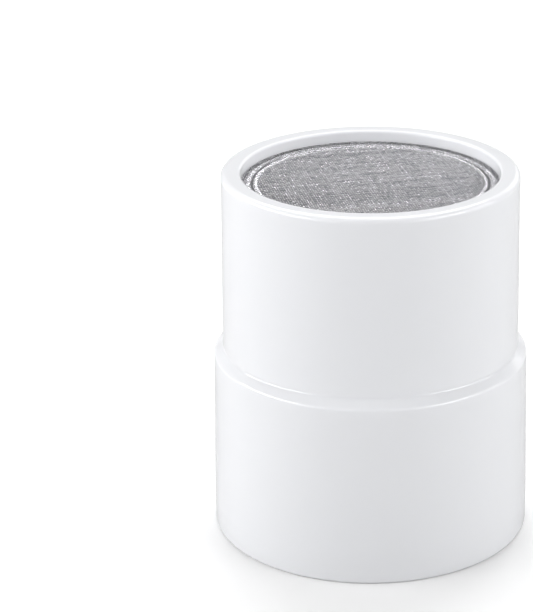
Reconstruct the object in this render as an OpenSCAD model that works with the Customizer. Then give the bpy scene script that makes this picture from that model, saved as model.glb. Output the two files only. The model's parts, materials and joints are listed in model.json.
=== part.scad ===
// Drop-in cartridge of an inline water filter: a stepped moulded housing, closed at the top by a
// formed disc of wire cloth on a grid and at the base by a snapped-in cap. Between them lie three
// beds of media, parted by grids, screens and felts. Water enters through the top mesh and leaves
// through the base. Millimetres, +Z up, and the origin is the centre of the base face.

/* [Housing] */
// Height of the housing, base to rim
body_h = 68.5; // [66:0.5:80]
// Outer diameter of the straight land under the rim
rim_od = 54; // [53:0.5:55]
// Outer diameter of the straight land at the base
base_od = 59; // [58.5:0.5:61]
// Height of the foot of the outside shoulder
shoulder_z = 33.9; // [32:0.1:36]
// Width and height of the 45 degree shoulder
shoulder = 1.6; // [1.2:0.1:1.8]
// Moulding draft of the wall between the rim land and the shoulder, degrees
upper_draft = 0.72; // [0.4:0.02:0.9]
// Width of the rim, from the recess to the outside
rim_w = 3.55; // [3.4:0.05:3.8]

/* [Top mesh] */
// Depth of the mesh under the rim
recess_d = 2.3; // [1.5:0.1:3.5]
// Thickness of the woven wire cloth, over two crossing wires
cloth_t = 0.4; // [0.3:0.02:0.5]
// Height of the inner bead pressed into the mesh; the outer one is lower
bead_h = 0.24; // [0.1:0.02:0.3]
// Height of the mesh's upturned edge, above its bend
flange_h = 0.2; // [0.1:0.05:1]

/* [Media] */
// Thickness of the felt under the top grid
inlet_felt_t = 3; // [2:0.5:4]
// Height of the sulphite bed
sulphite_h = 7.6; // [5:0.2:9]
// Thickness of the felt over the carbon bed
divider_felt_t = 2; // [1.5:0.5:3]
// Thickness of the foam pad that keeps the carbon bed packed
foam_t = 3; // [2:0.5:4]

/* [Base cap] */
// Height of the cap's wall
cap_h = 9.9; // [9.5:0.1:11]
// Depth of the cap's web above the cap's own edge
web_inset = 2.6; // [2:0.1:3]
// Width of a spoke in every grid
spoke_w = 1.5; // [1.2:0.1:1.8]
// Thickness of the web of every grid
web_t = 2; // [1.6:0.1:2.2]

/* [Hidden] */
$fn = 96;

WHITE = [0.94, 0.94, 0.95];
STEEL = [0.62, 0.62, 0.64];
FELT = [0.93, 0.92, 0.88];
BRONZE = [0.72, 0.53, 0.25];
CHALK = [0.9, 0.87, 0.78];
BLACK = [0.1, 0.1, 0.1];

// Gap between a loose piece and the wall round it, and the fineness of the big moulded curves
gap = 0.1;
fine = 180;
arc_steps = 6;

// Outside of the housing
rim_r = rim_od / 2;
base_r = base_od / 2;
land_h = 5;
rim_round = 1;
edge_round = 0.5;
shoulder_round = 0.6;
mitre = tan(22.5);
shoulder_top = shoulder_z + shoulder;
rim_land_z = body_h - rim_round - land_h;
shoulder_top_r = rim_r + (rim_land_z - shoulder_top) * tan(upper_draft);
shoulder_foot_r = shoulder_top_r + shoulder;

// Inside of the housing, from the top down: the mouth, the ledge, then a bore with two steps,
// each facing down, so that one core draws out through the base
mouth_r = rim_r - rim_w;
grid_z = body_h - recess_d - cloth_t;
grid_rim_h = 3;
ledge_top = grid_z - grid_rim_h;
ledge_z = ledge_top - 2;
ledge_r = mouth_r - 2.2;
kdf_r = rim_r - 2.5;
sulphite_r = kdf_r + 0.5;
carbon_r = kdf_r + 1.7;
lower_step_z = shoulder_z;
upper_step_z = lower_step_z + cloth_t + sulphite_h + web_t;

// Base cap, with its snap bead, its seal and the ring that holds its mesh
seat_r = base_r - 2.3;
cap_r = seat_r - gap;
cap_z = 0.6;
cap_top = cap_z + cap_h;
cap_lead = 0.4;
cap_in_r = cap_r - 3.3;
cap_web_z = cap_z + web_inset;
cap_screen_z = cap_web_z + web_t;
snap_z = 3.1;
snap_h = 0.4;
snap_rise = 1.2;
seal_z = 7.8;
groove_w = 2.4;
groove_r = cap_r - 1.6;
seal_section_r = (seat_r - groove_r) / 2 - 0.01;
clamp_w = 1.35;
clamp_h = 1.5;
clamp_split_deg = 6;
clamp_z = cap_screen_z + cloth_t;

// Rows of windows in a grid: [inner radius, outer radius, spokes], as shares of its clear radius
WINDOW_ROWS = [[0.19, 0.42, 8], [0.485, 0.71, 14], [0.775, 1, 20]];
gate_dimple_r = 1.5;
gate_dimple_d = 0.4;
union_lap = 0.3;

// Middle line of the formed mesh: flat field, two beads, and an edge turned up against the wall
mesh_z = grid_z + cloth_t / 2;
bead_half_w = 0.55;
outer_bead_share = 0.7;
inner_bead_r = mouth_r - 2.65;
outer_bead_r = inner_bead_r + 1.35;
bead_step = 0.125;
flange_r = mouth_r - 0.08 - cloth_t / 2;
turn_r = 0.3;

function swell(d, h) = abs(d) < bead_half_w ? h * (1 + cos(180 * d / bead_half_w)) / 2 : 0;

function arc(centre, r, from, to) =
    [for (i = [0:arc_steps]) let (a = from + (to - from) * i / arc_steps)
        centre + r * [cos(a), sin(a)]];

mesh_line = concat(
    [for (r = [inner_bead_r - bead_half_w : bead_step : flange_r - turn_r - bead_step / 2])
        [r, mesh_z + swell(r - inner_bead_r, bead_h)
            + swell(r - outer_bead_r, bead_h * outer_bead_share)]],
    arc([flange_r - turn_r, mesh_z + turn_r], turn_r, -90, 0),
    [[flange_r, mesh_z + turn_r + flange_h]]);

// Normal to a line at its point i, on the left of its direction
function normal_at(line, i) =
    let (d = line[min(i + 1, len(line) - 1)] - line[max(i - 1, 0)]) [-d[1], d[0]] / norm(d);

// A line moved sideways by t, to its left
function beside(line, t) = [for (i = [0 : len(line) - 1]) line[i] + t * normal_at(line, i)];

function reversed(line) = [for (i = [len(line) - 1 : -1 : 0]) line[i]];

// A tube or ring about Z
module ring(outer_r, inner_r, h) {
    rotate_extrude() translate([inner_r, 0]) square([outer_r - inner_r, h]);
}

// A disc about Z with its foot at height z
module disc(r, z, h) {
    translate([0, 0, z]) cylinder(r = r, h = h);
}

// A web with a hub, hoops and rows of windows out to clear_r, and a solid border out to outer_r
module window_web(clear_r, outer_r) {
    last = len(WINDOW_ROWS) - 1;
    difference() {
        disc(WINDOW_ROWS[0][0] * clear_r, 0, web_t);
        disc(gate_dimple_r, web_t - gate_dimple_d, web_t);
    }
    for (i = [0:last]) {
        inner = WINDOW_ROWS[i][0] * clear_r;
        outer = WINDOW_ROWS[i][1] * clear_r;
        spokes = WINDOW_ROWS[i][2];
        ring(i < last ? WINDOW_ROWS[i + 1][0] * clear_r : outer_r, outer, web_t);
        for (k = [0 : spokes - 1])
            rotate([0, 0, 360 * k / spokes])
                translate([inner - union_lap, -spoke_w / 2, 0])
                    cube([outer - inner + 2 * union_lap, spoke_w, web_t]);
    }
}

// Stepped outer shell, moulded in one piece with the rim and the ledge that carries the top grid
module housing() {
    color(WHITE) rotate_extrude($fn = fine) polygon(concat(
        arc([rim_r - rim_round, body_h - rim_round], rim_round, 90, 0),
        [[rim_r, rim_land_z]],
        arc([shoulder_top_r + edge_round, shoulder_top + edge_round * mitre], edge_round, 180, 225),
        arc([shoulder_foot_r - shoulder_round, shoulder_z - shoulder_round * mitre],
            shoulder_round, 45, 0),
        [[base_r, land_h]],
        arc([base_r - edge_round, edge_round], edge_round, 0, -90),
        [[seat_r + edge_round, 0], [seat_r, edge_round],
         [seat_r, snap_z - snap_h - gap], [seat_r + snap_h, snap_z - snap_h],
         [seat_r + snap_h, snap_z + gap], [seat_r, snap_z + snap_rise + gap],
         [seat_r, cap_top], [carbon_r, cap_top],
         [carbon_r, lower_step_z], [sulphite_r, lower_step_z],
         [sulphite_r, upper_step_z], [kdf_r, upper_step_z],
         [kdf_r, ledge_z], [ledge_r, ledge_z],
         [ledge_r, ledge_top], [mouth_r, ledge_top]],
        arc([mouth_r + edge_round, body_h - edge_round], edge_round, 180, 90)));
}

// Formed disc of woven wire cloth on the top grid, its edge turned up against the housing
module inlet_mesh() {
    color(STEEL) rotate_extrude($fn = fine) polygon(concat(
        [[0, mesh_z + cloth_t / 2]],
        beside(mesh_line, cloth_t / 2),
        reversed(beside(mesh_line, -cloth_t / 2)),
        [[0, grid_z]]));
}

// Grid under the top mesh: it stands on the ledge and takes the thrust of the water
module inlet_grid() {
    grid_r = mouth_r - gap;
    clear_r = inner_bead_r - 1;
    color(WHITE) {
        translate([0, 0, grid_z - web_t]) window_web(clear_r, clear_r + union_lap);
        rotate_extrude($fn = fine) polygon([
            [clear_r, ledge_top], [grid_r, ledge_top], [grid_r, grid_z - edge_round],
            [grid_r - edge_round, grid_z], [clear_r, grid_z]]);
    }
}

// Needled felt disc that spreads the flow over the first bed
module inlet_felt() {
    color(FELT) disc(kdf_r - gap, ledge_z - inlet_felt_t, inlet_felt_t);
}

// Bed of copper-zinc granules
module kdf_bed() {
    foot = upper_step_z + cloth_t;
    color(BRONZE) disc(kdf_r - gap, foot, ledge_z - inlet_felt_t - foot);
}

// Flat disc of wire cloth that keeps the granules out of the divider's windows
module kdf_screen() {
    color(STEEL) disc(kdf_r - gap, upper_step_z, cloth_t);
}

// Loose grid disc, seated against the upper step of the bore
module upper_divider() {
    color(WHITE) translate([0, 0, upper_step_z - web_t])
        window_web(kdf_r - 2.4, sulphite_r - gap);
}

// Bed of calcium sulphite prills
module sulphite_bed() {
    color(CHALK) disc(sulphite_r - gap, lower_step_z + cloth_t, sulphite_h);
}

// Flat disc of wire cloth under the prills
module divider_screen() {
    color(STEEL) disc(sulphite_r - gap, lower_step_z, cloth_t);
}

// Loose grid disc, seated against the lower step of the bore
module lower_divider() {
    color(WHITE) translate([0, 0, lower_step_z - web_t])
        window_web(sulphite_r - 2.4, carbon_r - gap);
}

// Felt disc that keeps carbon fines out of the upper beds
module divider_felt() {
    color(FELT) disc(carbon_r - gap, lower_step_z - web_t - divider_felt_t, divider_felt_t);
}

// Bed of granular activated carbon
module carbon_bed() {
    foot = cap_top + foam_t;
    color(BLACK) disc(carbon_r - gap, foot, lower_step_z - web_t - divider_felt_t - foot);
}

// Open-cell foam pad, squeezed by the cap so that the carbon can't shift
module packing_foam() {
    color([0.86, 0.86, 0.84]) disc(carbon_r - gap, cap_top, foam_t);
}

// Felt plug that fills the cap, down through the clamp ring and onto the base mesh
module outlet_felt() {
    wide_r = cap_in_r - gap;
    neck_r = wide_r - clamp_w - gap;
    shoulder_foot = clamp_z + clamp_h;
    color(FELT) rotate_extrude() polygon([
        [0, clamp_z], [neck_r, clamp_z], [neck_r, shoulder_foot],
        [wide_r, shoulder_foot], [wide_r, cap_top], [0, cap_top]]);
}

// Split plastic ring that springs against the cap's wall and clamps the base mesh
module screen_ring() {
    color(WHITE) translate([0, 0, clamp_z])
        rotate([0, 0, clamp_split_deg / 2])
            rotate_extrude(angle = 360 - clamp_split_deg)
                translate([cap_in_r - gap - clamp_w, 0]) square([clamp_w, clamp_h]);
}

// Flat disc of wire cloth on the web of the base cap
module outlet_mesh() {
    color(STEEL) disc(cap_in_r - gap, cap_screen_z, cloth_t);
}

// Base cap: a wall with a snap bead and a seal groove, and a windowed web set back from the base
module outlet_cap() {
    color(WHITE) {
        rotate_extrude($fn = fine) polygon([
            [cap_in_r, cap_z], [cap_r - cap_lead, cap_z], [cap_r, cap_z + cap_lead],
            [cap_r, snap_z - snap_h], [cap_r + snap_h, snap_z], [cap_r, snap_z + snap_rise],
            [cap_r, seal_z - groove_w / 2], [groove_r, seal_z - groove_w / 2],
            [groove_r, seal_z + groove_w / 2], [cap_r, seal_z + groove_w / 2],
            [cap_r, cap_top - cap_lead], [cap_r - cap_lead, cap_top], [cap_in_r, cap_top]]);
        translate([0, 0, cap_web_z]) window_web(cap_in_r - 1.1, cap_in_r + union_lap);
    }
}

// Rubber ring, squeezed between the cap's groove and the housing
module cap_seal() {
    color(BLACK) translate([0, 0, seal_z])
        rotate_extrude() translate([groove_r + 0.01 + seal_section_r, 0])
            circle(r = seal_section_r, $fn = 32);
}

housing();
inlet_mesh();
inlet_grid();
inlet_felt();
kdf_bed();
kdf_screen();
upper_divider();
sulphite_bed();
divider_screen();
lower_divider();
divider_felt();
carbon_bed();
packing_foam();
outlet_felt();
screen_ring();
outlet_mesh();
outlet_cap();
cap_seal();
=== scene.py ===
import json
import math
import random
import bmesh
import bpy
from mathutils import Matrix, Vector, noise


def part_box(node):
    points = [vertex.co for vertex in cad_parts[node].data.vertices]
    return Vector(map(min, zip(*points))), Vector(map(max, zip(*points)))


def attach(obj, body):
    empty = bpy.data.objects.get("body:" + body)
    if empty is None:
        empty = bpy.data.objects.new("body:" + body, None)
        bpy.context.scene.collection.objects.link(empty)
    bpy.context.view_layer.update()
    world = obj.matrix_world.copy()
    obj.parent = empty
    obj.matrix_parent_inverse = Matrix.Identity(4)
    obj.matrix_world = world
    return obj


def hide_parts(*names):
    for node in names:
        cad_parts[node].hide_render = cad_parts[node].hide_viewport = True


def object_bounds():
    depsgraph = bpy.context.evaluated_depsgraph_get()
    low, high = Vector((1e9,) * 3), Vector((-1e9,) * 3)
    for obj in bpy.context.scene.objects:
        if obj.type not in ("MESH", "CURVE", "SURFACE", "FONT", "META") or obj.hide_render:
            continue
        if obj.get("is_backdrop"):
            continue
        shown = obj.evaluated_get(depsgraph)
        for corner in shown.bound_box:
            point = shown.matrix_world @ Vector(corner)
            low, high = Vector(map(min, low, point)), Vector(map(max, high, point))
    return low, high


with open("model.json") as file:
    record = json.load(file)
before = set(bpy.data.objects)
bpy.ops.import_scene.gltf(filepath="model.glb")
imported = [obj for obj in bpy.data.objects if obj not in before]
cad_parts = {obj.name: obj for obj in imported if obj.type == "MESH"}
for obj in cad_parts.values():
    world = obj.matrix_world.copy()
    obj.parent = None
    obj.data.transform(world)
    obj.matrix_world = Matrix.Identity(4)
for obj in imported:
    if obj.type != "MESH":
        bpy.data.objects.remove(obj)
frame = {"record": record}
cad_low, cad_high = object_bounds()
mm = 0.001

# ---- Camera ----
# A long lens, a little over 20 degrees above the cartridge, with its view shifted so that the
# cartridge stands to the right of the middle and a little low.
aim = (cad_low + cad_high) / 2
aim_distance = 415 * mm
aim_height_deg = 22.65
camera_data = bpy.data.cameras.new("camera")
camera_data.sensor_width = 36
camera_data.lens = 131.4
camera_data.shift_x = -0.170
camera_data.shift_y = 0.0638
camera_data.clip_start = 0.01
camera_data.clip_end = 20
camera = bpy.data.objects.new("camera", camera_data)
tilt = math.radians(aim_height_deg)
camera.location = aim + aim_distance * Vector((0, -math.cos(tilt), math.sin(tilt)))
camera.rotation_euler = (math.pi / 2 - tilt, 0, 0)
bpy.context.scene.collection.objects.link(camera)
bpy.context.scene.camera = camera

# ---- Studio ----
# A round white table among soft boxes: low strips at both sides, the stronger on the left, a large
# box either side of the lens, a weak one behind to the right, and two high up behind, which light
# the rim and the mesh.
scene = bpy.context.scene
scene.view_settings.view_transform = "Standard"
table_r = 0.85
table_white = (0.97, 0.97, 0.97, 1)  # as the camera sees it
table_bounce = (0.5, 0.5, 0.5, 1)  # as it throws light back onto the cartridge
soft_boxes = {
    # name: bearing from the lens and height in degrees, distance, width and height in metres,
    # and watts
    "left_strip": (270, 22, 1.0, 0.6, 0.2, 4.0),
    "left_front_strip": (300, 22, 1.0, 0.6, 0.2, 4.2),
    "right_front_strip": (60, 22, 1.0, 0.6, 0.2, 4.1),
    "right_strip": (90, 22, 1.0, 0.6, 0.4, 2.4),
    "front_left_box": (315, 7, 1.3, 0.8, 0.6, 2.2),
    "front_right_box": (45, 7, 1.3, 0.8, 0.6, 2.05),
    "back_right_box": (150, 20, 1.0, 0.6, 0.4, 0.9),
    "back_box": (180, 48, 1.0, 0.8, 0.4, 4.1),
    "high_back_box": (180, 68, 1.0, 0.8, 0.5, 3.3),
}
tent_glow = 0.1
backdrop_glow = 1.05

bm = bmesh.new()
bmesh.ops.create_circle(bm, cap_ends=True, segments=96, radius=table_r)
table_mesh = bpy.data.meshes.new("table_top")
bm.to_mesh(table_mesh)
bm.free()
table = bpy.data.objects.new("table_top", table_mesh)
scene.collection.objects.link(table)


def blank_material(name):
    """A new material, with its node tree and its Principled shader."""
    material = bpy.data.materials.new(name)
    material.use_nodes = True
    return material, material.node_tree, material.node_tree.nodes["Principled BSDF"]


table_paint, tree, shader = blank_material("table_white")
seen = tree.nodes.new("ShaderNodeLightPath")
lift = tree.nodes.new("ShaderNodeMix")
lift.data_type = "RGBA"
lift.inputs["A"].default_value = table_bounce
lift.inputs["B"].default_value = table_white
tree.links.new(seen.outputs["Is Camera Ray"], lift.inputs["Factor"])
tree.links.new(lift.outputs["Result"], shader.inputs["Base Color"])
shader.inputs["Roughness"].default_value = 0.9
shader.inputs["Specular IOR Level"].default_value = 0.0
table.data.materials.append(table_paint)
table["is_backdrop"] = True

for box_name, (bearing_deg, height_deg, distance, wide, high, watts) in soft_boxes.items():
    bearing, rise = math.radians(bearing_deg), math.radians(height_deg)
    away = Vector((math.sin(bearing) * math.cos(rise), -math.cos(bearing) * math.cos(rise),
                   math.sin(rise)))
    lamp = bpy.data.lights.new(box_name, "AREA")
    lamp.shape = "RECTANGLE"
    lamp.size = wide
    lamp.size_y = high
    lamp.energy = watts
    soft_box = bpy.data.objects.new(box_name, lamp)
    soft_box.location = aim + distance * away
    soft_box.rotation_euler = (-away).to_track_quat("-Z", "Y").to_euler()
    scene.collection.objects.link(soft_box)

tent = bpy.data.worlds.new("tent")
tent.use_nodes = True
tree = tent.node_tree
tent_light = tree.nodes["Background"]
tent_light.inputs["Color"].default_value = (1, 1, 1, 1)
tent_light.inputs["Strength"].default_value = tent_glow
backdrop = tree.nodes.new("ShaderNodeBackground")
backdrop.inputs["Color"].default_value = (1, 1, 1, 1)
backdrop.inputs["Strength"].default_value = backdrop_glow
seen = tree.nodes.new("ShaderNodeLightPath")
either = tree.nodes.new("ShaderNodeMixShader")
tree.links.new(seen.outputs["Is Camera Ray"], either.inputs["Fac"])
tree.links.new(tent_light.outputs["Background"], either.inputs[1])
tree.links.new(backdrop.outputs["Background"], either.inputs[2])
tree.links.new(either.outputs["Shader"], tree.nodes["World Output"].inputs["Surface"])
scene.world = tent

# ---- Housing ----
# The stepped outer shell: white polypropylene, moulded in one piece with the rim and the ledge
# inside it. Its edges are rounded, and its wall leans in by under a degree so that it leaves
# the mould.
plastic_white = (0.858, 0.867, 0.893, 1)
plastic_warm = (0.848, 0.855, 0.876, 1)
gap = 0.1 * mm
height = cad_high.z
base_r = cad_high.x
mounts = {mount["name"]: mount["dims"] for mount in frame["record"]["mounts"]}
rim_r = mounts["upper_land"]["r_mm"] * mm
land_h = 5 * mm
rim_round = 1 * mm
edge_round = 0.5 * mm
shoulder = 1.6 * mm
shoulder_z = 33.9 * mm
shoulder_round = 0.8 * mm
draft_run = 0.34 * mm
shoulder_top_r = rim_r + draft_run
mesh_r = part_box("inlet_mesh")[1].x
mouth_r = mesh_r + 0.08 * mm
grid_low, grid_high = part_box("inlet_grid")
ledge_r = mouth_r - 2.2 * mm
ledge_foot_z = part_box("inlet_felt")[1].z
upper_bore_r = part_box("inlet_felt")[1].x + gap
upper_step_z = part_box("kdf_screen")[0].z
middle_bore_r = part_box("divider_screen")[1].x + gap
lower_step_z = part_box("divider_screen")[0].z
lower_bore_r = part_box("divider_felt")[1].x + gap
cap_low, cap_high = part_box("outlet_cap")
seat_r = base_r - 2.3 * mm
snap_z = 3.1 * mm
snap_h = 0.4 * mm
snap_rise = 3 * snap_h
turn_steps = 256


def rounded_outline(corners, arc_steps=6, hold=0.06 * mm):
    """Points of a closed outline in the XZ plane. A corner is (x, z) or (x, z, radius), and each
    straight gets a point close to both its ends, so that it shades flat up to the round."""
    points = []
    count = len(corners)
    for i, corner in enumerate(corners):
        here = Vector(corner[:2])
        before = Vector(corners[i - 1][:2]) - here
        after = Vector(corners[(i + 1) % count][:2]) - here
        radius = corner[2] if len(corner) > 2 else 0
        half = before.angle(after) / 2
        cut = radius / math.tan(half) if radius else 0
        first = here + before.normalized() * cut
        last = here + after.normalized() * cut
        points.append(first + before.normalized() * hold)
        if radius:
            middle = (before.normalized() + after.normalized()).normalized()
            centre = here + middle * (radius / math.sin(half))
            start = first - centre
            sweep = start.angle_signed(last - centre)
            for k in range(arc_steps + 1):
                a = -sweep * k / arc_steps
                points.append(centre + Matrix.Rotation(a, 2) @ start)
        else:
            points.append(here)
        points.append(last + after.normalized() * hold)
    return points


def lathe(bm, outline, steps, closed=True):
    """Adds an outline in the XZ plane to a bmesh, spun a full turn about Z. An open one starts
    and ends on the axis."""
    verts = [bm.verts.new((p[0], 0, p[1])) for p in outline]
    edges = [bm.edges.new(pair) for pair in zip(verts, verts[1:])]
    if closed:
        edges.append(bm.edges.new((verts[-1], verts[0])))
    bmesh.ops.spin(bm, geom=verts + edges, cent=(0, 0, 0), axis=(0, 0, 1),
                   angle=2 * math.pi, steps=steps, use_merge=True)
    bmesh.ops.remove_doubles(bm, verts=bm.verts, dist=1e-7)


def new_piece(name, bm, flat_above_deg=None):
    """Closes a bmesh into an object. Edges sharper than the angle, where one is given, stay so."""
    bmesh.ops.recalc_face_normals(bm, faces=bm.faces)
    mesh = bpy.data.meshes.new(name)
    bm.to_mesh(mesh)
    bm.free()
    mesh.shade_smooth()
    if flat_above_deg:
        mesh.set_sharp_from_angle(angle=math.radians(flat_above_deg))
    piece = bpy.data.objects.new(name, mesh)
    scene.collection.objects.link(piece)
    return piece


housing_corners = [
    (rim_r, height, rim_round),
    (rim_r, height - rim_round - land_h),
    (shoulder_top_r, shoulder_z + shoulder, shoulder_round),
    (shoulder_top_r + shoulder, shoulder_z, shoulder_round),
    (base_r, land_h),
    (base_r, 0, edge_round),
    (seat_r, 0, edge_round),
    (seat_r, snap_z - snap_h - gap),
    (seat_r + snap_h, snap_z - snap_h),
    (seat_r + snap_h, snap_z + gap),
    (seat_r, snap_z + snap_rise + gap),
    (seat_r, cap_high.z),
    (lower_bore_r, cap_high.z),
    (lower_bore_r, lower_step_z),
    (middle_bore_r, lower_step_z),
    (middle_bore_r, upper_step_z),
    (upper_bore_r, upper_step_z),
    (upper_bore_r, ledge_foot_z),
    (ledge_r, ledge_foot_z),
    (ledge_r, grid_low.z),
    (mouth_r, grid_low.z),
    (mouth_r, height, edge_round),
]
bm = bmesh.new()
lathe(bm, rounded_outline(housing_corners), turn_steps)
housing = new_piece("housing_shell", bm)


def moulded_skin():
    """Shader group: the faint mottle, the flow marks and the fine texture of a moulded surface."""
    group = bpy.data.node_groups.new("moulded_skin", "ShaderNodeTree")
    face = group.interface
    face.new_socket("Vector", in_out="INPUT", socket_type="NodeSocketVector")
    face.new_socket("Colour", in_out="INPUT", socket_type="NodeSocketColor")
    face.new_socket("Shade", in_out="INPUT", socket_type="NodeSocketColor")
    for label in ("Roughness", "Roughness Spread"):
        face.new_socket(label, in_out="INPUT", socket_type="NodeSocketFloat")
    face.new_socket("Colour", in_out="OUTPUT", socket_type="NodeSocketColor")
    face.new_socket("Roughness", in_out="OUTPUT", socket_type="NodeSocketFloat")
    face.new_socket("Height", in_out="OUTPUT", socket_type="NodeSocketFloat")
    add = group.nodes.new
    link = group.links.new
    enter = add("NodeGroupInput")
    leave = add("NodeGroupOutput")
    mottle = add("ShaderNodeTexNoise")
    mottle.inputs["Scale"].default_value = 60
    mottle.inputs["Detail"].default_value = 4
    grain = add("ShaderNodeTexNoise")
    grain.inputs["Scale"].default_value = 2600
    grain.inputs["Detail"].default_value = 2
    ripple = add("ShaderNodeTexNoise")
    ripple.inputs["Scale"].default_value = 140
    ripple.inputs["Detail"].default_value = 1
    for texture in (mottle, grain, ripple):
        link(enter.outputs["Vector"], texture.inputs["Vector"])
    tint = add("ShaderNodeMix")
    tint.data_type = "RGBA"
    link(mottle.outputs["Fac"], tint.inputs["Factor"])
    link(enter.outputs["Colour"], tint.inputs["A"])
    link(enter.outputs["Shade"], tint.inputs["B"])
    link(tint.outputs["Result"], leave.inputs["Colour"])
    spread = add("ShaderNodeMath")
    spread.operation = "MULTIPLY_ADD"
    link(mottle.outputs["Fac"], spread.inputs[0])
    link(enter.outputs["Roughness Spread"], spread.inputs[1])
    link(enter.outputs["Roughness"], spread.inputs[2])
    link(spread.outputs[0], leave.inputs["Roughness"])
    texture = add("ShaderNodeMath")
    texture.operation = "MULTIPLY_ADD"
    texture.inputs[1].default_value = 0.25
    link(grain.outputs["Fac"], texture.inputs[0])
    link(ripple.outputs["Fac"], texture.inputs[2])
    link(texture.outputs[0], leave.inputs["Height"])
    return group


def moulded_plastic(name, colour, shade, roughness, spread, relief, depth):
    """White plastic that light enters to the given depth."""
    material, tree, shader = blank_material(name)
    place = tree.nodes.new("ShaderNodeTexCoord")
    skin = tree.nodes.new("ShaderNodeGroup")
    skin.node_tree = bpy.data.node_groups["moulded_skin"]
    skin.inputs["Colour"].default_value = colour
    skin.inputs["Shade"].default_value = shade
    skin.inputs["Roughness"].default_value = roughness
    skin.inputs["Roughness Spread"].default_value = spread
    bump = tree.nodes.new("ShaderNodeBump")
    bump.inputs["Distance"].default_value = relief
    bump.inputs["Strength"].default_value = 0.5
    tree.links.new(place.outputs["Object"], skin.inputs["Vector"])
    tree.links.new(skin.outputs["Colour"], shader.inputs["Base Color"])
    tree.links.new(skin.outputs["Roughness"], shader.inputs["Roughness"])
    tree.links.new(skin.outputs["Height"], bump.inputs["Height"])
    tree.links.new(bump.outputs["Normal"], shader.inputs["Normal"])
    shader.inputs["IOR"].default_value = 1.49
    shader.inputs["Subsurface Weight"].default_value = 1.0
    shader.inputs["Subsurface Radius"].default_value = (1.0, 1.0, 1.0)
    shader.inputs["Subsurface Scale"].default_value = depth
    return material


moulded_skin()
housing.data.materials.append(
    moulded_plastic("housing_plastic", plastic_white, plastic_warm, 0.14, 0.06, 0.004 * mm,
                    0.6 * mm))
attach(housing, "root")
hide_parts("housing")

# ---- Inlet mesh ----
# A disc of plain-woven stainless wire cloth, 60 wires to the inch. It is pressed with two beads
# near its edge, which stiffen it, and its edge is turned up against the wall of the recess.
wire_pitch = 25.4 / 60 * mm
wire_r = 0.085 * mm
wire_wander = 0.09
cloth_half_t = 0.2 * mm
cloth_mid_z = grid_high.z + cloth_half_t
cloth_turn_deg = 13
bead_half_w = 0.42 * mm
beads = ((mouth_r - 2.65 * mm, 0.28 * mm), (mouth_r - 1.3 * mm, 0.2 * mm))  # radius and height
flange_r = mesh_r - cloth_half_t
flange_h = 0.12 * mm
edge_turn_r = 0.3 * mm
flat_edge_r = flange_r - edge_turn_r
cut_r = flat_edge_r + edge_turn_r * math.pi / 2 + flange_h
border_in_r = beads[0][0] - 0.5 * mm
border_out_r = flat_edge_r + 0.12 * mm
# Shares of the way out across the border, and the painted light on the wire there: 0.5 as the
# field, more as painted highlight, less as painted shade
bead_painted_light = ((0.12, 1), (0.27, 1), (0.35, 0.1), (0.45, 0.1), (0.53, 0.65), (0.9, 0.65))


def formed(u, v, lift):
    """Where the point (u, v) of the flat cloth lies once formed, raised by lift off its middle."""
    reach = math.hypot(u, v)
    x, y = (u / reach, v / reach) if reach else (1, 0)
    past = reach - flat_edge_r
    if past < 0:
        r, z, lean = reach, cloth_mid_z, 0
        for bead_r, bead_rise in beads:
            off = (reach - bead_r) / bead_half_w
            if abs(off) < 1:
                z += bead_rise * (1 + math.cos(math.pi * off)) / 2
    elif past < edge_turn_r * math.pi / 2:
        lean = past / edge_turn_r
        r = flat_edge_r + edge_turn_r * math.sin(lean)
        z = cloth_mid_z + edge_turn_r * (1 - math.cos(lean))
    else:
        lean = math.pi / 2
        r = flange_r
        z = cloth_mid_z + edge_turn_r + past - edge_turn_r * math.pi / 2
    r -= lift * math.sin(lean)
    return Vector((r * x, r * y, z + lift * math.cos(lean)))


def curve_to_piece(name, curve):
    """The mesh of a curve, as an object of its own, with its cut ends joined on."""
    bent = bpy.data.objects.new(name + "_curve", curve)
    scene.collection.objects.link(bent)
    bpy.context.view_layer.update()
    shown = bent.evaluated_get(bpy.context.evaluated_depsgraph_get())
    mesh = bpy.data.meshes.new_from_object(shown)
    bpy.data.objects.remove(bent)
    bm = bmesh.new()
    bm.from_mesh(mesh)
    bmesh.ops.remove_doubles(bm, verts=bm.verts, dist=1e-7)
    bm.to_mesh(mesh)
    bm.free()
    mesh.name = name
    mesh.shade_smooth()
    piece = bpy.data.objects.new(name, mesh)
    scene.collection.objects.link(piece)
    return piece


def woven_wires(name, ways, seed, pitch, radius, reach, form):
    """Plain weave. A way is one set of parallel wires, as its angle in degrees and its parity,
    and each wire goes over and under the wires of the other set."""
    chance = random.Random(seed)
    curve = bpy.data.curves.new(name, "CURVE")
    curve.dimensions = "3D"
    curve.bevel_depth = radius
    curve.bevel_resolution = 0
    curve.use_fill_caps = True
    rows = int(reach / pitch)
    for angle_deg, parity in ways:
        turn = Matrix.Rotation(math.radians(angle_deg), 2)
        for row in range(-rows, rows + 1):
            across = (row + chance.uniform(-wire_wander, wire_wander)) * pitch
            half = math.sqrt(max(reach ** 2 - across ** 2, 0)) / pitch
            if half < 1:
                continue
            last = math.ceil(2 * half) - 1
            stops = [-half] + [k / 2 for k in range(-last, last + 1)] + [half]
            wire = curve.splines.new("POLY")
            wire.points.add(len(stops) - 1)
            for point, along in zip(wire.points, stops):
                phase = math.pi * (along + row + parity)
                flat = turn @ Vector((along * pitch, across))
                spot = form(flat.x, flat.y, 1.05 * radius * math.cos(phase))
                point.co = (*spot, 1)
    return curve_to_piece(name, curve)


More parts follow.
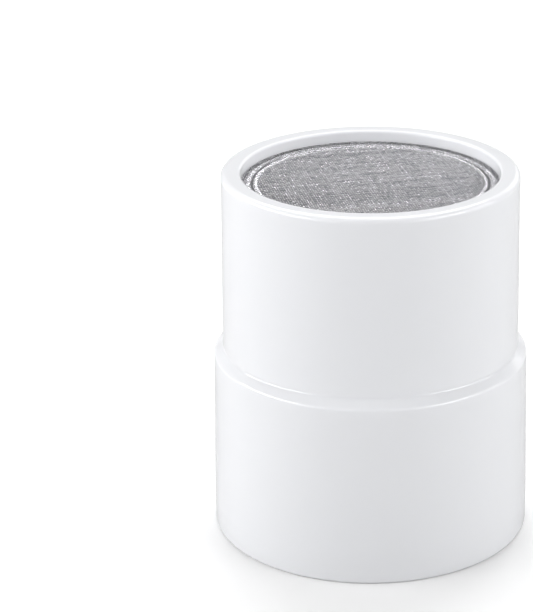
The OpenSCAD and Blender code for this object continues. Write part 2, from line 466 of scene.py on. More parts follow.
def weave_tone_and_painted_light():
    """Shader group: woven wire with a painted highlight where it crosses on top and painted shade in
    the hollows. Each wire is lighter or darker than the next, and the painted highlight of each
    crossing is stronger or weaker at random. Along the border the beads' crests get painted
    highlights, and the fold between them and the turned-up edge get painted shade."""
    group = bpy.data.node_groups.new("weave_tone_and_painted_light", "ShaderNodeTree")
    face = group.interface
    face.new_socket("Vector", in_out="INPUT", socket_type="NodeSocketVector")
    for label in ("Shaded Colour", "Bright"):
        face.new_socket(label, in_out="INPUT", socket_type="NodeSocketColor")
    for label in ("Per Metre", "Middle", "Top", "Border In", "Border Out", "Crossing Spread",
                  "Wire Spread", "Roughness"):
        face.new_socket(label, in_out="INPUT", socket_type="NodeSocketFloat")
    face.new_socket("Colour", in_out="OUTPUT", socket_type="NodeSocketColor")
    face.new_socket("Roughness", in_out="OUTPUT", socket_type="NodeSocketFloat")
    add = group.nodes.new
    link = group.links.new
    enter = add("NodeGroupInput")
    leave = add("NodeGroupOutput")
    cell = add("ShaderNodeVectorMath")
    cell.operation = "SCALE"
    link(enter.outputs["Vector"], cell.inputs[0])
    link(enter.outputs["Per Metre"], cell.inputs["Scale"])
    nearest = add("ShaderNodeVectorMath")
    nearest.operation = "ADD"
    nearest.inputs[1].default_value = (0.5, 0.5, 0)
    link(cell.outputs["Vector"], nearest.inputs[0])
    whole = add("ShaderNodeVectorMath")
    whole.operation = "FLOOR"
    link(nearest.outputs["Vector"], whole.inputs[0])
    flat = add("ShaderNodeVectorMath")
    flat.operation = "MULTIPLY"
    flat.inputs[1].default_value = (1, 1, 0)
    link(whole.outputs["Vector"], flat.inputs[0])
    crossing = add("ShaderNodeTexWhiteNoise")
    crossing.noise_dimensions = "3D"
    link(flat.outputs["Vector"], crossing.inputs["Vector"])
    lane = add("ShaderNodeSeparateXYZ")
    link(whole.outputs["Vector"], lane.inputs["Vector"])
    wire = add("ShaderNodeTexWhiteNoise")
    wire.noise_dimensions = "1D"
    link(lane.outputs["Y"], wire.inputs["W"])
    height = add("ShaderNodeSeparateXYZ")
    link(enter.outputs["Vector"], height.inputs["Vector"])
    # Painted highlight on the tops of the crossings and painted shade in the hollows, by height
    crown_light = add("ShaderNodeMapRange")
    crown_light.interpolation_type = "SMOOTHSTEP"
    link(height.outputs["Z"], crown_light.inputs["Value"])
    link(enter.outputs["Middle"], crown_light.inputs["From Min"])
    link(enter.outputs["Top"], crown_light.inputs["From Max"])
    uneven = add("ShaderNodeMath")
    uneven.operation = "MULTIPLY_ADD"
    uneven.inputs[2].default_value = 1.0
    link(crossing.outputs["Value"], uneven.inputs[0])
    less = add("ShaderNodeMath")
    less.operation = "MULTIPLY"
    less.inputs[1].default_value = -1.0
    link(enter.outputs["Crossing Spread"], less.inputs[0])
    link(less.outputs[0], uneven.inputs[1])
    crown_highlight = add("ShaderNodeMath")
    crown_highlight.operation = "MULTIPLY"
    link(crown_light.outputs["Result"], crown_highlight.inputs[0])
    link(uneven.outputs[0], crown_highlight.inputs[1])
    centred = add("ShaderNodeMath")
    centred.operation = "SUBTRACT"
    centred.inputs[1].default_value = 0.5
    link(wire.outputs["Value"], centred.inputs[0])
    wire_tone_and_crown_light = add("ShaderNodeMath")
    wire_tone_and_crown_light.operation = "MULTIPLY_ADD"
    wire_tone_and_crown_light.use_clamp = True
    link(centred.outputs[0], wire_tone_and_crown_light.inputs[0])
    link(enter.outputs["Wire Spread"], wire_tone_and_crown_light.inputs[1])
    link(crown_highlight.outputs[0], wire_tone_and_crown_light.inputs[2])
    plan = add("ShaderNodeVectorMath")
    plan.operation = "MULTIPLY"
    plan.inputs[1].default_value = (1, 1, 0)
    link(enter.outputs["Vector"], plan.inputs[0])
    reach = add("ShaderNodeVectorMath")
    reach.operation = "LENGTH"
    link(plan.outputs["Vector"], reach.inputs[0])
    # Painted highlights on the beads' crests, painted shade in the fold between them and on the
    # turned-up edge past the border
    border = add("ShaderNodeMapRange")
    link(reach.outputs["Value"], border.inputs["Value"])
    link(enter.outputs["Border In"], border.inputs["From Min"])
    link(enter.outputs["Border Out"], border.inputs["From Max"])
    bead_light_ramp = add("ShaderNodeValToRGB")
    rings = bead_light_ramp.color_ramp.elements
    rings[0].color = (0.5, 0.5, 0.5, 1)
    rings[1].color = (0.25, 0.25, 0.25, 1)
    for share, level in bead_painted_light:
        rings.new(share).color = (level, level, level, 1)
    link(border.outputs["Result"], bead_light_ramp.inputs["Fac"])
    more = add("ShaderNodeMath")
    more.operation = "MULTIPLY_ADD"
    more.inputs[1].default_value = 1.6
    more.inputs[2].default_value = -0.8
    link(bead_light_ramp.outputs["Color"], more.inputs[0])
    tone_and_light = add("ShaderNodeMath")
    tone_and_light.operation = "ADD"
    tone_and_light.use_clamp = True
    link(wire_tone_and_crown_light.outputs[0], tone_and_light.inputs[0])
    link(more.outputs[0], tone_and_light.inputs[1])
    tone = add("ShaderNodeMix")
    tone.data_type = "RGBA"
    link(enter.outputs["Shaded Colour"], tone.inputs["A"])
    link(enter.outputs["Bright"], tone.inputs["B"])
    link(tone_and_light.outputs[0], tone.inputs["Factor"])
    link(tone.outputs["Result"], leave.inputs["Colour"])
    polish = add("ShaderNodeMath")
    polish.operation = "MULTIPLY_ADD"
    polish.inputs[1].default_value = -0.23
    link(tone_and_light.outputs[0], polish.inputs[0])
    link(enter.outputs["Roughness"], polish.inputs[2])
    link(polish.outputs[0], leave.inputs["Roughness"])


def wire_steel(name, angle_deg, pitch, radius, middle, in_r, out_r, shaded_colour, lit_colour):
    """Drawn stainless wire in a cloth whose wires lie at the angle. The pressed border lies between
    the two radii, with painted highlights on its beads and painted shade in its fold, and past it
    the wire has painted shade."""
    material, tree, shader = blank_material(name)
    shader.inputs["Metallic"].default_value = 1.0
    place = tree.nodes.new("ShaderNodeTexCoord")
    turn = tree.nodes.new("ShaderNodeMapping")
    turn.inputs["Rotation"].default_value = (0, 0, math.radians(-angle_deg))
    weave = tree.nodes.new("ShaderNodeGroup")
    weave.node_tree = bpy.data.node_groups["weave_tone_and_painted_light"]
    weave.inputs["Per Metre"].default_value = 1 / pitch
    weave.inputs["Middle"].default_value = middle - 0.5 * radius
    weave.inputs["Top"].default_value = middle + 2 * radius
    weave.inputs["Border In"].default_value = in_r
    weave.inputs["Border Out"].default_value = out_r
    weave.inputs["Crossing Spread"].default_value = 0.9
    weave.inputs["Wire Spread"].default_value = 0.3
    weave.inputs["Roughness"].default_value = 0.45
    weave.inputs["Shaded Colour"].default_value = shaded_colour
    weave.inputs["Bright"].default_value = lit_colour
    tree.links.new(place.outputs["Object"], turn.inputs["Vector"])
    tree.links.new(turn.outputs["Vector"], weave.inputs["Vector"])
    tree.links.new(weave.outputs["Colour"], shader.inputs["Base Color"])
    tree.links.new(weave.outputs["Roughness"], shader.inputs["Roughness"])
    return material


weave_tone_and_painted_light()
warp = woven_wires("inlet_mesh_warp", ((cloth_turn_deg + 90, 0),), 1, wire_pitch, wire_r,
                   cut_r, formed)
weft = woven_wires("inlet_mesh_weft", ((cloth_turn_deg, 1),), 2, wire_pitch, wire_r,
                   cut_r, formed)
# The two colours are the painted shade of the hollows and the painted highlight of the crests
for wires, angle in ((warp, cloth_turn_deg + 90), (weft, cloth_turn_deg)):
    wires.data.materials.append(
        wire_steel(wires.name + "_steel", angle, wire_pitch, wire_r, cloth_mid_z,
                   border_in_r, border_out_r, (0.25, 0.25, 0.265, 1), (0.98, 0.97, 1.0, 1)))
    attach(wires, "root")
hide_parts("inlet_mesh")

# ---- Inlet grid ----
# A moulded disc that carries the mesh against the thrust of the water: a hub with its gate mark,
# three rows of windows between hoops, and a deep rim that stands on the housing's ledge.
window_rows = (
    # start and end of the row as shares of the clear radius, and its number of spokes
    (0.19, 0.42, 8),
    (0.485, 0.71, 14),
    (0.775, 1.0, 20),
)
spoke_w = 1.5 * mm
web_t = 2 * mm
web_ease = 0.22 * mm
spoke_lap = 0.3 * mm
gate_r = 1.5 * mm
gate_depth = 0.4 * mm
hoop_steps = 128
grid_clear_r = beads[0][0] - 1 * mm
natural_plastic = (0.83, 0.84, 0.84, 1)
natural_shade = (0.8, 0.8, 0.78, 1)


def windowed(name, border, clear_r, web_low):
    """A moulded part with a border of the given outline round a web with rows of windows."""
    web_high = web_low + web_t
    bm = bmesh.new()
    lathe(bm, rounded_outline(border, 3, web_ease / 2), hoop_steps)
    for (_, end, _), (start, _, _) in zip(window_rows, window_rows[1:]):
        inner_r, outer_r = end * clear_r, start * clear_r
        hoop = [(inner_r, web_low, web_ease), (outer_r, web_low, web_ease),
                (outer_r, web_high, web_ease), (inner_r, web_high, web_ease)]
        lathe(bm, rounded_outline(hoop, 3, web_ease / 2), hoop_steps)
    hub_r = window_rows[0][0] * clear_r
    nick = 0.3 * web_ease
    hub = [(0, web_low), (hub_r - web_ease, web_low), (hub_r - nick, web_low + nick),
           (hub_r, web_low + web_ease), (hub_r, web_high - web_ease),
           (hub_r - nick, web_high - nick), (hub_r - web_ease, web_high),
           (gate_r, web_high), (gate_r - web_ease / 2, web_high - gate_depth),
           (0.3 * gate_r, web_high - gate_depth), (0.2 * gate_r, web_high - 0.5 * gate_depth),
           (0, web_high - 0.45 * gate_depth)]
    lathe(bm, hub, 64, closed=False)
    part = new_piece(name, bm)
    spokes = bmesh.new()
    for inner, outer, count in window_rows:
        length = (outer - inner) * clear_r + 2 * spoke_lap
        middle = (outer + inner) / 2 * clear_r
        for k in range(count):
            place = (Matrix.Rotation(2 * math.pi * k / count, 4, "Z")
                     @ Matrix.Translation((middle, 0, (web_low + web_high) / 2))
                     @ Matrix.Diagonal((length, spoke_w, web_t - 0.02 * mm, 1)))
            bmesh.ops.create_cube(spokes, size=1, matrix=place)
    along = [e for e in spokes.edges if abs(e.verts[0].co.z - e.verts[1].co.z) < 1e-6
             and e.calc_length() > 1.01 * spoke_w]
    bmesh.ops.bevel(spokes, geom=along, offset=web_ease, segments=3, profile=0.5,
                    affect="EDGES", material=-1)
    bars = new_piece(name + "_spokes", spokes)
    join = part.modifiers.new("join", "BOOLEAN")
    join.operation = "UNION"
    join.solver = "EXACT"
    join.object = bars
    shown = part.evaluated_get(bpy.context.evaluated_depsgraph_get())
    mesh = bpy.data.meshes.new_from_object(shown)
    part.modifiers.clear()
    bpy.data.objects.remove(bars)
    part.data = mesh
    mesh.name = name
    mesh.shade_smooth()
    mesh.set_sharp_from_angle(angle=math.radians(40))
    return part


grid = windowed("grid", [
    (grid_clear_r, grid_low.z, web_ease),
    (grid_high.x, grid_low.z, web_ease),
    (grid_high.x, grid_high.z, edge_round),
    (grid_clear_r, grid_high.z, web_ease),
], grid_clear_r, grid_high.z - web_t)
grid.data.materials.append(
    moulded_plastic("grid_plastic", natural_plastic, natural_shade, 0.3, 0.1, 0.006 * mm,
                    0.2 * mm))
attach(grid, "root")
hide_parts("inlet_grid")

# ---- Dividers ----
# Two loose moulded grid discs, one against each step of the bore, which part the three beds.
upper_low, upper_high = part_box("upper_divider")
lower_low, lower_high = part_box("lower_divider")
dividers = (
    # node, outer radius, width of the border, foot
    ("upper_divider", upper_high.x, 2.8 * mm, upper_low.z),
    ("lower_divider", lower_high.x, 3.5 * mm, lower_low.z),
)
for node, outer_r, border_w, foot in dividers:
    divider_clear_r = outer_r - border_w
    divider = windowed(node + "_disc", [
        (divider_clear_r, foot, web_ease),
        (outer_r, foot, web_ease),
        (outer_r, foot + web_t, web_ease),
        (divider_clear_r, foot + web_t, web_ease),
    ], divider_clear_r, foot)
    divider.data.materials.append(bpy.data.materials["grid_plastic"])
    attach(divider, "root")
    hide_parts(node)

# ---- Outlet cap ----
# The base of the cartridge: a wall with a snap bead and the groove of its seal, round a web with
# the same windows. It is pressed into the housing for good.
cap_r = cap_high.x - snap_h
cap_in_r = cap_r - 3.3 * mm
cap_web_z = cap_low.z + 2.6 * mm
cap_clear_r = cap_in_r - 1.1 * mm
groove_r = cap_r - 1.6 * mm
groove_z = 7.8 * mm
groove_half = 1.2 * mm
cap = windowed("base_cap", [
    (cap_in_r, cap_low.z, web_ease),
    (cap_r, cap_low.z, 0.4 * mm),
    (cap_r, snap_z - snap_h),
    (cap_high.x, snap_z, 0.1 * mm),
    (cap_r, snap_z + snap_rise),
    (cap_r, groove_z - groove_half, 0.15 * mm),
    (groove_r, groove_z - groove_half, 0.2 * mm),
    (groove_r, groove_z + groove_half, 0.2 * mm),
    (cap_r, groove_z + groove_half, 0.15 * mm),
    (cap_r, cap_high.z, 0.4 * mm),
    (cap_in_r, cap_high.z, web_ease),
    (cap_in_r, cap_web_z + web_t, 0.3 * mm),
    (cap_clear_r, cap_web_z + web_t, web_ease),
    (cap_clear_r, cap_web_z, web_ease),
    (cap_in_r, cap_web_z, 0.3 * mm),
], cap_clear_r, cap_web_z)
cap.data.materials.append(
    moulded_plastic("cap_plastic", plastic_white, plastic_warm, 0.2, 0.08, 0.005 * mm, 0.6 * mm))
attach(cap, "root")
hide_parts("outlet_cap")

# ---- Cap seal ----
# A black nitrile ring of round section in the cap's groove, with the fine flash that its mould
# leaves round its inside and its outside.
seal_low, seal_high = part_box("cap_seal")
seal_r = (seal_high.z - seal_low.z) / 2
seal_mid_z = (seal_high.z + seal_low.z) / 2
flash = 0.03 * mm
section_points = 32
bm = bmesh.new()
section = []
for k in range(section_points):
    a = 2 * math.pi * k / section_points
    reach = seal_r - (0 if k % (section_points // 2) == 0 else flash)
    section.append((seal_high.x - seal_r + reach * math.cos(a), seal_mid_z + reach * math.sin(a)))
lathe(bm, section, turn_steps)
seal = new_piece("seal_ring", bm)
nitrile, tree, shader = blank_material("nitrile")
place = tree.nodes.new("ShaderNodeTexCoord")
bloom = tree.nodes.new("ShaderNodeTexNoise")
bloom.inputs["Scale"].default_value = 400
bloom.inputs["Detail"].default_value = 5
tint = tree.nodes.new("ShaderNodeValToRGB")
tint.color_ramp.elements[0].position = 0.35
tint.color_ramp.elements[0].color = (0.012, 0.012, 0.013, 1)
tint.color_ramp.elements[1].position = 0.8
tint.color_ramp.elements[1].color = (0.045, 0.045, 0.047, 1)
matt = tree.nodes.new("ShaderNodeMapRange")
matt.inputs["To Min"].default_value = 0.35
matt.inputs["To Max"].default_value = 0.6
bump = tree.nodes.new("ShaderNodeBump")
bump.inputs["Distance"].default_value = 0.01 * mm
tree.links.new(place.outputs["Object"], bloom.inputs["Vector"])
tree.links.new(bloom.outputs["Fac"], tint.inputs["Fac"])
tree.links.new(tint.outputs["Color"], shader.inputs["Base Color"])
tree.links.new(bloom.outputs["Fac"], matt.inputs["Value"])
tree.links.new(matt.outputs["Result"], shader.inputs["Roughness"])
tree.links.new(bloom.outputs["Fac"], bump.inputs["Height"])
tree.links.new(bump.outputs["Normal"], shader.inputs["Normal"])
seal.data.materials.append(nitrile)
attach(seal, "root")
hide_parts("cap_seal")

# ---- Screen ring ----
# A split ring of plastic that springs against the cap's wall and holds the base mesh down.
ring_low, ring_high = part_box("screen_ring")
ring_w = 1.35 * mm
split_deg = 6
bm = bmesh.new()
outline = rounded_outline([
    (ring_high.x, ring_low.z, web_ease), (ring_high.x, ring_high.z, web_ease),
    (ring_high.x - ring_w, ring_high.z, web_ease), (ring_high.x - ring_w, ring_low.z, web_ease),
], 3, web_ease / 2)
start_turn = Matrix.Rotation(math.radians(split_deg / 2), 3, "Z")
verts = [bm.verts.new(start_turn @ Vector((p.x, 0, p.y))) for p in outline]
edges = [bm.edges.new((verts[i - 1], verts[i])) for i in range(len(verts))]
bmesh.ops.spin(bm, geom=verts + edges, cent=(0, 0, 0), axis=(0, 0, 1),
               angle=math.radians(360 - split_deg), steps=hoop_steps)
bmesh.ops.holes_fill(bm, edges=bm.edges)
clamp = new_piece("clamp_ring", bm, 40)
clamp.data.materials.append(bpy.data.materials["grid_plastic"])
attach(clamp, "root")
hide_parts("screen_ring")

# ---- Flat screens ----
# Three punched discs of a coarser wire cloth, 40 wires to the inch: one under each of the upper
# beds and one on the web of the base cap.
screen_pitch = 25.4 / 40 * mm
screen_wire_r = 0.097 * mm
for node, screen_turn_deg in (("kdf_screen", 5), ("divider_screen", 38), ("outlet_mesh", 20)):
    low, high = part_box(node)
    middle = (low.z + high.z) / 2

    def flat_lie(u, v, lift, middle=middle):
        return Vector((u, v, middle + lift))

    ways = ((screen_turn_deg, 0), (screen_turn_deg + 90, 1))
    screen = woven_wires(node + "_wires", ways, 3, screen_pitch, screen_wire_r,
                         high.x - screen_wire_r, flat_lie)
    # The two colours are the painted shade of the hollows and the painted highlight of the crossings
    screen.data.materials.append(
        wire_steel(node + "_steel", screen_turn_deg, screen_pitch, screen_wire_r, middle,
                   high.x, high.x + 1 * mm, (0.28, 0.28, 0.29, 1), (0.85, 0.85, 0.86, 1)))
    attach(screen, "root")
    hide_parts(node)

# ---- Felts ----
# Needled polyester felt, cut to shape: a pad under the inlet grid, one over the carbon, and a
# stepped plug in the cap. Loose fibres lie all over its faces.
felt_step = 0.9 * mm
felt_unevenness = 0.05 * mm
felt_lump = 1.7 * mm
fibre_r = 0.016 * mm
fibre_points = 6
fibre_step = 0.6 * mm
fibres_per_mm2 = 0.35


def dense(outline, longest):
    """The same open outline with points added so that none lie further apart than longest."""
    points = []
    for a, b in zip(outline, outline[1:]):
        count = max(1, math.ceil((Vector(b) - Vector(a)).length / longest))
        points += [Vector(a).lerp(Vector(b), k / count) for k in range(count)]
    return points + [Vector(outline[-1])]


def soft_solid(outline, longest, lump, depth):
    """A bmesh of an open outline spun about Z, its surface moved in and out by soft noise."""
    bm = bmesh.new()
    lathe(bm, dense(outline, longest), hoop_steps, closed=False)
    bmesh.ops.recalc_face_normals(bm, faces=bm.faces)
    for vert in bm.verts:
        vert.co -= vert.normal * depth * (1 + noise.noise(vert.co / lump))
    return bm


def loose_fibres(name, low, high, seed):
    """Short curled fibres on the top, the base and the side of a disc."""
    chance = random.Random(seed)
    curve = bpy.data.curves.new(name, "CURVE")
    curve.dimensions = "3D"
    curve.bevel_depth = fibre_r
    curve.bevel_resolution = 0
    curve.use_fill_caps = True
    disc_r = high.x - 2 * fibre_r
    face_area = math.pi * (disc_r / mm) ** 2
    side_area = 2 * math.pi * disc_r * (high.z - low.z) / mm ** 2
    for face, area in (("top", face_area), ("base", face_area), ("side", side_area)):
        for _ in range(int(area * fibres_per_mm2)):
            fibre = curve.splines.new("POLY")
            fibre.points.add(fibre_points - 1)
            heading = chance.uniform(0, 2 * math.pi)
            if face == "side":
                u, v = chance.uniform(0, 2 * math.pi * disc_r), chance.uniform(low.z, high.z)
            else:
                reach, a = disc_r * math.sqrt(chance.random()), chance.uniform(0, 2 * math.pi)
                u, v = reach * math.cos(a), reach * math.sin(a)
            curl = chance.uniform(-0.5, 0.5)
            for k in range(fibre_points):
                sunk = felt_unevenness * chance.uniform(0, 0.9)
                if face == "side":
                    v = min(max(v, low.z + fibre_r), high.z - fibre_r)
                    a = u / disc_r
                    spot = ((disc_r - sunk) * math.cos(a), (disc_r - sunk) * math.sin(a), v)
                else:
                    shrink = min(1, disc_r / max(math.hypot(u, v), 1e-9))
                    z = high.z - fibre_r - sunk if face == "top" else low.z + fibre_r + sunk
                    spot = (u * shrink, v * shrink, z)
                fibre.points[k].co = (*spot, 1)
                u += fibre_step * math.cos(heading)
                v += fibre_step * math.sin(heading)
                heading += curl + chance.uniform(-0.2, 0.2)
    return curve_to_piece(name, curve)


felt, tree, shader = blank_material("needled_felt")
add = tree.nodes.new
link = tree.links.new
shader.inputs["Sheen Weight"].default_value = 0.4
shader.inputs["Sheen Roughness"].default_value = 0.5
place = add("ShaderNodeTexCoord")
layers = []
for turn_deg, scale in ((0, 1.0), (63, 1.2), (118, 0.9)):
    lay = add("ShaderNodeMapping")
    lay.inputs["Rotation"].default_value = (0, 0, math.radians(turn_deg))
    lay.inputs["Scale"].default_value = (scale * 300, scale * 5000, scale * 3000)
    strands = add("ShaderNodeTexNoise")
    strands.inputs["Scale"].default_value = 1
    strands.inputs["Detail"].default_value = 2
    strands.inputs["Distortion"].default_value = 0.6
    link(place.outputs["Object"], lay.inputs["Vector"])
    link(lay.outputs["Vector"], strands.inputs["Vector"])
    layers.append(strands.outputs["Fac"])
over = add("ShaderNodeMath")
over.operation = "MAXIMUM"
link(layers[0], over.inputs[0])
link(layers[1], over.inputs[1])
mat = add("ShaderNodeMath")
mat.operation = "MAXIMUM"
link(over.outputs[0], mat.inputs[0])
link(layers[2], mat.inputs[1])
cloudy = add("ShaderNodeTexNoise")
cloudy.inputs["Scale"].default_value = 220
link(place.outputs["Object"], cloudy.inputs["Vector"])
shade = add("ShaderNodeMath")
shade.operation = "MULTIPLY"
link(mat.outputs[0], shade.inputs[0])
link(cloudy.outputs["Fac"], shade.inputs[1])
tint = add("ShaderNodeValToRGB")
tint.color_ramp.elements[0].position = 0.15
tint.color_ramp.elements[0].color = (0.55, 0.53, 0.48, 1)
tint.color_ramp.elements[1].position = 0.42
tint.color_ramp.elements[1].color = (0.86, 0.85, 0.8, 1)
matt = add("ShaderNodeMapRange")
matt.inputs["To Min"].default_value = 0.75
matt.inputs["To Max"].default_value = 1.0
bump = add("ShaderNodeBump")
bump.inputs["Distance"].default_value = 0.06 * mm
link(shade.outputs[0], tint.inputs["Fac"])
link(tint.outputs["Color"], shader.inputs["Base Color"])
link(mat.outputs[0], matt.inputs["Value"])
link(matt.outputs["Result"], shader.inputs["Roughness"])
link(mat.outputs[0], bump.inputs["Height"])
link(bump.outputs["Normal"], shader.inputs["Normal"])

felt_round = 0.4 * mm
plug_neck_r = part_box("screen_ring")[1].x - ring_w - gap
for seed, node in enumerate(("inlet_felt", "divider_felt", "outlet_felt")):
    low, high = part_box(node)
    outline = [(0, high.z), (high.x - felt_round, high.z), (high.x, high.z - felt_round)]
    if node == "outlet_felt":
        outline += [(high.x, ring_high.z + 0.1 * mm), (plug_neck_r, ring_high.z),
                    (plug_neck_r, low.z + felt_round), (plug_neck_r - felt_round, low.z)]
    else:
        outline += [(high.x, low.z + felt_round), (high.x - felt_round, low.z)]
    outline.append((0, low.z))
    bm = soft_solid(outline, felt_step, felt_lump, felt_unevenness)
    fibre_low = Vector((low.x, low.y, ring_high.z)) if node == "outlet_felt" else low
    fibres = loose_fibres(node + "_fibres", fibre_low, high, seed)
    bm.from_mesh(fibres.data)
    bpy.data.objects.remove(fibres)
    pad = new_piece(node + "_pad", bm)
    pad.data.materials.clear()
    pad.data.materials.append(felt)
    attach(pad, "root")
    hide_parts(node)

# ---- Packing foam ----
# A disc of open-cell polyurethane foam under the carbon. The cap squeezes it, so that the bed
# can't shift.
foam_low, foam_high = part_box("packing_foam")
pore = 1.3 * mm
pore_depth = 0.35 * mm
foam_step = 0.5 * mm
foam_steps = 280
bm = bmesh.new()
lathe(bm, dense([
    (0, foam_high.z), (foam_high.x - felt_round, foam_high.z),
    (foam_high.x, foam_high.z - felt_round), (foam_high.x, foam_low.z + felt_round),
    (foam_high.x - felt_round, foam_low.z), (0, foam_low.z),
], foam_step), foam_steps, closed=False)
bmesh.ops.recalc_face_normals(bm, faces=bm.faces)
open_cell = bm.verts.layers.float.new("open_cell")
for vert in bm.verts:
    nearest = noise.voronoi(vert.co / pore)[0][0]
    hole = max(0, 1 - 1.6 * nearest)
    vert[open_cell] = hole
    vert.co -= vert.normal * pore_depth * hole
foam_pad = new_piece("foam_pad", bm)
foam, tree, shader = blank_material("open_cell_foam")
add = tree.nodes.new
link = tree.links.new
depth_of_pore = add("ShaderNodeAttribute")
depth_of_pore.attribute_name = "open_cell"
place = add("ShaderNodeTexCoord")
skin = add("ShaderNodeTexVoronoi")
skin.feature = "DISTANCE_TO_EDGE"
skin.inputs["Scale"].default_value = 2200
link(place.outputs["Object"], skin.inputs["Vector"])
# Painted shade: the fine cells are darker inside than at their edges, as the small pores are shaded
strut = add("ShaderNodeMapRange")
strut.inputs["From Max"].default_value = 0.12
strut.inputs["To Min"].default_value = 1.0
strut.inputs["To Max"].default_value = 0.55
link(skin.outputs["Distance"], strut.inputs["Value"])
# Painted shade: the colour is darker the deeper a pore is sunk
dark = add("ShaderNodeMath")
dark.operation = "SUBTRACT"
dark.use_clamp = True
link(strut.outputs["Result"], dark.inputs[0])
link(depth_of_pore.outputs["Fac"], dark.inputs[1])
tint = add("ShaderNodeValToRGB")
tint.color_ramp.elements[0].color = (0.3, 0.29, 0.26, 1)
tint.color_ramp.elements[1].color = (0.82, 0.81, 0.77, 1)
link(dark.outputs[0], tint.inputs["Fac"])
link(tint.outputs["Color"], shader.inputs["Base Color"])
matt = add("ShaderNodeMapRange")
matt.inputs["To Min"].default_value = 0.95
matt.inputs["To Max"].default_value = 0.65
link(dark.outputs[0], matt.inputs["Value"])
link(matt.outputs["Result"], shader.inputs["Roughness"])
bump = add("ShaderNodeBump")
bump.inputs["Distance"].default_value = 0.08 * mm
link(dark.outputs[0], bump.inputs["Height"])
link(bump.outputs["Normal"], shader.inputs["Normal"])
foam_pad.data.materials.append(foam)
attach(foam_pad, "root")
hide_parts("packing_foam")

# ---- Media beds ----
# Loose grains poured in and packed flat: cast copper-zinc granules, round prills of calcium
# sulphite, and crushed coconut-shell carbon. Inside each bed's outer grains is one closed core.
golden_turn = math.pi * (3 - math.sqrt(5))
# In grain sizes: how far a grain strays sideways and sinks, how deep the core lies, and the area
# of bed that each grain covers
grain_scatter = 0.3
core_depth = 0.45
grain_cover = 0.6


def grain_shapes(kind, size, seed):
    """Five shapes for the grains of a bed: smooth balls, or lumps with uneven corners."""
    chance = random.Random(seed)
    shapes = []
    for k in range(5):
        bm = bmesh.new()
        bm.verts.layers.float.new("tone")
        if kind == "prill":
            bmesh.ops.create_uvsphere(bm, u_segments=8, v_segments=6, radius=size / 2)
            spread = 0.04
        else:
            bmesh.ops.create_icosphere(bm, subdivisions=1, radius=size / 2)
            spread = 0.24
        for vert in bm.verts:
            vert.co *= 1 - spread * chance.random()
        bmesh.ops.recalc_face_normals(bm, faces=bm.faces)
        shape = bpy.data.meshes.new(f"{kind}_{k}")
        bm.to_mesh(shape)
        bm.free()
        shapes.append(shape)
    return shapes


def poured(name, node, kind, size, size_spread, seed):
    """Grains side by side all over a bed's top, base and side, over a core just under them."""
    chance = random.Random(seed)
    low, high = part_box(node)
    reach, middle, half = high.x - size / 2, (low.z + high.z) / 2, (high.z - low.z - size) / 2
    cell = grain_cover * (size * (1 - size_spread / 2)) ** 2
    spots = []
    count = int(math.pi * reach ** 2 / cell)
    for side in (-1, 1):
        for k in range(count):
            r = reach * math.sqrt((k + 0.5) / count)
            a = k * golden_turn
            inset = size * grain_scatter * chance.random()
            spots.append((r * math.cos(a), r * math.sin(a), middle + side * (half - inset)))
    count = int(2 * math.pi * reach * 2 * half / cell)
    for k in range(count):
        a = k * golden_turn
        r = reach - size * grain_scatter * chance.random()
        spots.append((r * math.cos(a), r * math.sin(a), middle + half * (2 * (k + 0.5) / count - 1)))
    shapes = grain_shapes(kind, size, seed)
    bm = bmesh.new()
    bm.verts.layers.float.new("tone")
    core_r, core_half = reach - core_depth * size, half - core_depth * size
    lathe(bm, [(0, middle + core_half), (core_r, middle + core_half),
               (core_r, middle - core_half), (0, middle - core_half)], hoop_steps, closed=False)
    bmesh.ops.recalc_face_normals(bm, faces=bm.faces)
    for x, y, z in spots:
        x += size * grain_scatter * chance.uniform(-1, 1)
        y += size * grain_scatter * chance.uniform(-1, 1)
        shrink = min(1, reach / math.hypot(x, y))
        grain = chance.choice(shapes).copy()
        turn = Matrix.Rotation(chance.uniform(0, 6.28), 4, (chance.random(), chance.random(), 1))
        growth = Matrix.Scale(1 - size_spread * chance.random(), 4)
        grain.transform(Matrix.Translation((x * shrink, y * shrink, z)) @ turn @ growth)
        tone = 0.15 + 0.85 * chance.random()
        grain.attributes["tone"].data.foreach_set("value", [tone] * len(grain.vertices))
        bm.from_mesh(grain)
        bpy.data.meshes.remove(grain)
    mesh = bpy.data.meshes.new(name)
    bm.to_mesh(mesh)
    bm.free()
    if kind == "prill":
        mesh.shade_smooth()
    piece = bpy.data.objects.new(name, mesh)
    scene.collection.objects.link(piece)
    return piece


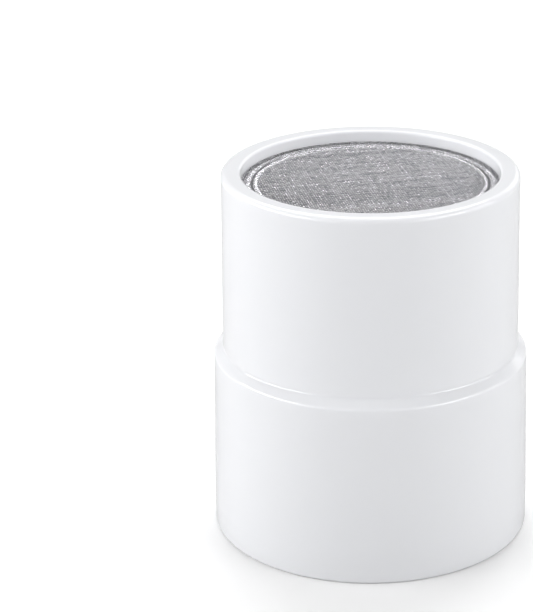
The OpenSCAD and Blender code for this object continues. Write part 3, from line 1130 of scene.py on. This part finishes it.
def grain_face():
    """Shader group: a grain's own shade, with blotches and a pitted skin."""
    group = bpy.data.node_groups.new("grain_face", "ShaderNodeTree")
    face = group.interface
    face.new_socket("Vector", in_out="INPUT", socket_type="NodeSocketVector")
    face.new_socket("Tone", in_out="INPUT", socket_type="NodeSocketFloat")
    for label in ("Dark", "Light"):
        face.new_socket(label, in_out="INPUT", socket_type="NodeSocketColor")
    for label in ("Blotch Scale", "Pit Scale", "Roughness"):
        face.new_socket(label, in_out="INPUT", socket_type="NodeSocketFloat")
    face.new_socket("Colour", in_out="OUTPUT", socket_type="NodeSocketColor")
    face.new_socket("Roughness", in_out="OUTPUT", socket_type="NodeSocketFloat")
    face.new_socket("Height", in_out="OUTPUT", socket_type="NodeSocketFloat")
    add = group.nodes.new
    link = group.links.new
    enter = add("NodeGroupInput")
    leave = add("NodeGroupOutput")
    blotch = add("ShaderNodeTexNoise")
    blotch.inputs["Detail"].default_value = 3
    link(enter.outputs["Vector"], blotch.inputs["Vector"])
    link(enter.outputs["Blotch Scale"], blotch.inputs["Scale"])
    pits = add("ShaderNodeTexVoronoi")
    link(enter.outputs["Vector"], pits.inputs["Vector"])
    link(enter.outputs["Pit Scale"], pits.inputs["Scale"])
    mask = add("ShaderNodeMath")
    mask.operation = "MULTIPLY"
    mask.use_clamp = True
    link(enter.outputs["Tone"], mask.inputs[0])
    link(blotch.outputs["Fac"], mask.inputs[1])
    stretch = add("ShaderNodeMath")
    stretch.operation = "MULTIPLY"
    stretch.inputs[1].default_value = 1.8
    stretch.use_clamp = True
    link(mask.outputs[0], stretch.inputs[0])
    tint = add("ShaderNodeMix")
    tint.data_type = "RGBA"
    link(stretch.outputs[0], tint.inputs["Factor"])
    link(enter.outputs["Dark"], tint.inputs["A"])
    link(enter.outputs["Light"], tint.inputs["B"])
    link(tint.outputs["Result"], leave.inputs["Colour"])
    polish = add("ShaderNodeMath")
    polish.operation = "MULTIPLY_ADD"
    polish.inputs[1].default_value = -0.2
    link(stretch.outputs[0], polish.inputs[0])
    link(enter.outputs["Roughness"], polish.inputs[2])
    link(polish.outputs[0], leave.inputs["Roughness"])
    link(pits.outputs["Distance"], leave.inputs["Height"])


grain_face()
beds = (
    # node, slot, kind and size of the grains, spread of their size, metallic, roughness, and
    # dark and light colours
    ("kdf_bed", "copper_zinc_granules", "granule", 1.5 * mm, 0.35, 1.0, 0.55,
     (0.2, 0.13, 0.05, 1), (0.83, 0.6, 0.27, 1)),
    ("sulphite_bed", "sulphite_prills", "prill", 2.3 * mm, 0.15, 0.0, 0.85,
     (0.6, 0.56, 0.47, 1), (0.86, 0.84, 0.78, 1)),
    ("carbon_bed", "carbon_granules", "crushed", 1.6 * mm, 0.45, 0.0, 0.7,
     (0.006, 0.006, 0.006, 1), (0.045, 0.045, 0.045, 1)),
)
for seed, bed_row in enumerate(beds):
    node, slot, kind, size, size_spread, metallic, roughness, dark, light = bed_row
    bed = poured(node + "_grains", node, kind, size, size_spread, seed)
    media, tree, shader = blank_material(node + "_media")
    shader.inputs["Metallic"].default_value = metallic
    place = tree.nodes.new("ShaderNodeTexCoord")
    own_tone = tree.nodes.new("ShaderNodeAttribute")
    own_tone.attribute_name = "tone"
    face = tree.nodes.new("ShaderNodeGroup")
    face.node_tree = bpy.data.node_groups["grain_face"]
    face.inputs["Dark"].default_value = dark
    face.inputs["Light"].default_value = light
    face.inputs["Blotch Scale"].default_value = 1 / size
    face.inputs["Pit Scale"].default_value = 6 / size
    face.inputs["Roughness"].default_value = roughness
    bump = tree.nodes.new("ShaderNodeBump")
    bump.inputs["Distance"].default_value = 0.06 * mm
    tree.links.new(place.outputs["Object"], face.inputs["Vector"])
    tree.links.new(own_tone.outputs["Fac"], face.inputs["Tone"])
    tree.links.new(face.outputs["Colour"], shader.inputs["Base Color"])
    tree.links.new(face.outputs["Roughness"], shader.inputs["Roughness"])
    tree.links.new(face.outputs["Height"], bump.inputs["Height"])
    tree.links.new(bump.outputs["Normal"], shader.inputs["Normal"])
    bed.data.materials.append(media)
    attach(bed, "root")
    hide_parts(node)

low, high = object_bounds()
